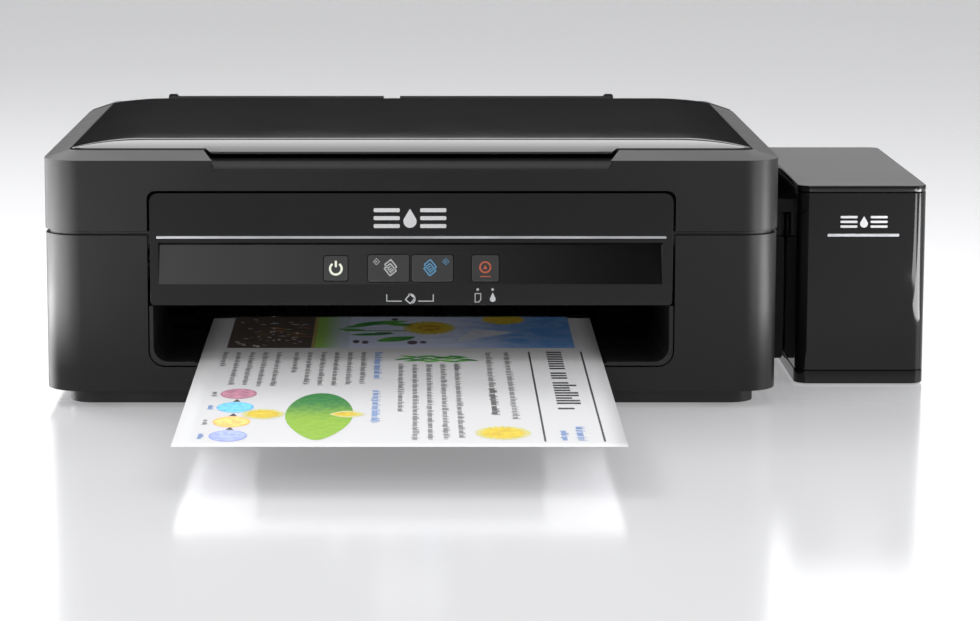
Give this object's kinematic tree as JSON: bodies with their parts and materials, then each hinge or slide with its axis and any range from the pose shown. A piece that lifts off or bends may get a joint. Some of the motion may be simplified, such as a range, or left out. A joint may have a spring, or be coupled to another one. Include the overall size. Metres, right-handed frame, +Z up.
{
  "type": "inkjet printer",
  "caption": "Flatbed all-in-one inkjet printer with a side ink tank unit, tilted control panel, lifting scanner unit and lid, paper support, output tray and a printed page.",
  "frame": {"origin": "centre of the footprint of everything, printed page included, at desk level under the feet", "axes": "+Z up, +X to the viewer's right when facing the control panel, +Y to the back, -Y is the front"},
  "size_m": [0.4814, 0.5124, 0.142],
  "materials": {
    "casing": "fine satin texture, near-black",
    "gloss_black": "polished, near-black",
    "satin_plastic": "satin, dark grey",
    "inner_plastic": "matt, black",
    "silver_trim": "brushed silver",
    "steel_sheet": "zinc plated steel",
    "rubber_black": "matt rubber",
    "circuit_board": "green solder mask",
    "white_foam": "white, soft",
    "scanner_glass": "clear float glass",
    "sheet_paper": "uncoated white paper",
    "ink_black": "translucent bottle with black ink",
    "ink_cyan": "translucent bottle with cyan ink",
    "ink_magenta": "translucent bottle with magenta ink",
    "ink_yellow": "translucent bottle with yellow ink"
  },
  "bodies": {
    "machine_body": {"base_pan": "inner_plastic", "foot_front_left": "rubber_black", "foot_front_right": "rubber_black", "foot_rear_left": "rubber_black", "foot_rear_right": "rubber_black", "lower_housing": "casing", "output_bezel": "inner_plastic", "control_panel": "gloss_black", "panel_trim": "silver_trim", "panel_board": "circuit_board", "chassis_frame": "steel_sheet", "carriage_rod": "steel_sheet", "platen": "inner_plastic", "star_wheel_bar": "inner_plastic", "feed_belt": "rubber_black", "feed_motor": "steel_sheet", "carriage_belt": "rubber_black", "carriage_motor": "steel_sheet", "cap_station": "inner_plastic", "waste_ink_pad": "white_foam", "feeder_chute": "inner_plastic", "ac_inlet": "inner_plastic", "power_supply": "inner_plastic", "usb_port": "steel_sheet", "main_board": "circuit_board", "hinge_bracket_left": "satin_plastic", "hinge_bracket_right": "satin_plastic", "tube_cover": "casing", "ink_tubes": "satin_plastic"},
    "power_button": {"power_button": "gloss_black"},
    "mono_copy_button": {"mono_copy_button": "gloss_black"},
    "color_copy_button": {"color_copy_button": "gloss_black"},
    "stop_button": {"stop_button": "gloss_black"},
    "feed_roller": {"feed_roller": "steel_sheet"},
    "eject_roller": {"eject_roller": "rubber_black"},
    "motor_pulley": {"motor_pulley": "silver_trim"},
    "pickup_roller": {"pickup_roller": "rubber_black"},
    "carriage": {"carriage": "satin_plastic", "print_head": "steel_sheet"},
    "drive_pulley": {"drive_pulley": "silver_trim"},
    "idler_pulley": {"idler_pulley": "satin_plastic"},
    "edge_guide": {"edge_guide": "satin_plastic"},
    "paper_support": {"paper_support": "satin_plastic"},
    "output_tray": {"output_tray": "inner_plastic"},
    "tray_extension": {"tray_extension": "inner_plastic"},
    "printed_sheet": {"printed_sheet": "sheet_paper"},
    "scanner_unit": {"scanner_housing": "casing", "scanner_floor": "inner_plastic", "scanner_glass": "scanner_glass", "scan_rail": "steel_sheet"},
    "scan_bar": {"scan_bar": "inner_plastic"},
    "lid": {"lid_cover": "gloss_black", "lid_pad": "white_foam"},
    "tank_unit": {"tank_housing": "gloss_black", "tank_base": "gloss_black", "ink_tank_black": "ink_black", "ink_tank_cyan": "ink_cyan", "ink_tank_magenta": "ink_magenta", "ink_tank_yellow": "ink_yellow"},
    "tank_cover": {"tank_cover": "satin_plastic"}
  },
  "joints": [
    {"name": "power_press", "type": "slide", "parent": "machine_body", "child": "power_button", "axis": [0, 0.9709, -0.2395], "range_m": [0, 0.0008], "stiffness_N_per_m": 1500},
    {"name": "mono_copy_press", "type": "slide", "parent": "machine_body", "child": "mono_copy_button", "axis": [0, 0.9709, -0.2395], "range_m": [0, 0.0008], "stiffness_N_per_m": 1500},
    {"name": "color_copy_press", "type": "slide", "parent": "machine_body", "child": "color_copy_button", "axis": [0, 0.9709, -0.2395], "range_m": [0, 0.0008], "stiffness_N_per_m": 1500},
    {"name": "stop_press", "type": "slide", "parent": "machine_body", "child": "stop_button", "axis": [0, 0.9709, -0.2395], "range_m": [0, 0.0008], "stiffness_N_per_m": 1500},
    {"name": "feed_turn", "type": "hinge", "parent": "machine_body", "child": "feed_roller", "pos_m": [-0.04425, 0.17415, 0.0224], "axis": [1, 0, 0], "continuous": true},
    {"name": "eject_turn", "type": "hinge", "parent": "machine_body", "child": "eject_roller", "pos_m": [-0.04425, 0.11415, 0.0214], "axis": [1, 0, 0], "continuous": true},
    {"name": "motor_pulley_turn", "type": "hinge", "parent": "machine_body", "child": "motor_pulley", "pos_m": [-0.22325, 0.14815, 0.044], "axis": [1, 0, 0], "continuous": true},
    {"name": "pickup_turn", "type": "hinge", "parent": "machine_body", "child": "pickup_roller", "pos_m": [-0.04425, 0.21565, 0.0777], "axis": [1, 0, 0], "continuous": true},
    {"name": "carriage_slide", "type": "slide", "parent": "machine_body", "child": "carriage", "axis": [1, 0, 0], "range_m": [-0.268, 0]},
    {"name": "drive_pulley_turn", "type": "hinge", "parent": "machine_body", "child": "drive_pulley", "pos_m": [-0.19425, 0.18415, 0.07], "axis": [0, 1, 0], "continuous": true},
    {"name": "idler_pulley_turn", "type": "hinge", "parent": "machine_body", "child": "idler_pulley", "pos_m": [0.10575, 0.18415, 0.07], "axis": [0, 1, 0], "continuous": true},
    {"name": "edge_guide_slide", "type": "slide", "parent": "machine_body", "child": "edge_guide", "axis": [1, 0, 0], "range_m": [0, 0.1]},
    {"name": "support_lift", "type": "slide", "parent": "machine_body", "child": "paper_support", "axis": [0, 0.1392, 0.9903], "range_m": [0, 0.062]},
    {"name": "tray_slide", "type": "slide", "parent": "machine_body", "child": "output_tray", "axis": [0, 0.9998, 0.0178], "range_m": [0, 0.1]},
    {"name": "extension_slide", "type": "slide", "parent": "output_tray", "child": "tray_extension", "axis": [0, 0.9998, 0.0178], "range_m": [0, 0.077]},
    {"name": "sheet_slide", "type": "slide", "parent": "machine_body", "child": "printed_sheet", "axis": [0, -0.9998, -0.0178], "range_m": [0, 0.15]},
    {"name": "scanner_hinge", "type": "hinge", "parent": "machine_body", "child": "scanner_unit", "pos_m": [-0.04425, 0.23015, 0.126], "axis": [-1, 0, 0], "range_deg": [0, 25]},
    {"name": "scan_bar_slide", "type": "slide", "parent": "scanner_unit", "child": "scan_bar", "axis": [1, 0, 0], "range_m": [0, 0.29]},
    {"name": "lid_hinge", "type": "hinge", "parent": "scanner_unit", "child": "lid", "pos_m": [-0.04425, 0.23015, 0.1397], "axis": [-1, 0, 0], "range_deg": [0, 75]},
    {"name": "tank_lift", "type": "slide", "parent": "machine_body", "child": "tank_unit", "axis": [0, 0, 1], "range_m": [0, 0.015]},
    {"name": "tank_cover_hinge", "type": "hinge", "parent": "tank_unit", "child": "tank_cover", "pos_m": [0.20475, 0.22745, 0.1078], "axis": [-1, 0, 0], "range_deg": [0, 100]}
  ],
  "couplings": [
    {"joint": "eject_turn", "follows": "feed_turn", "ratio": 1.2},
    {"joint": "motor_pulley_turn", "follows": "feed_turn", "ratio": 2},
    {"joint": "pickup_turn", "follows": "feed_turn", "ratio": -0.35},
    {"joint": "drive_pulley_turn", "follows": "carriage_slide", "rad_per_m": -128.21},
    {"joint": "idler_pulley_turn", "follows": "carriage_slide", "rad_per_m": -128.21}
  ]
}
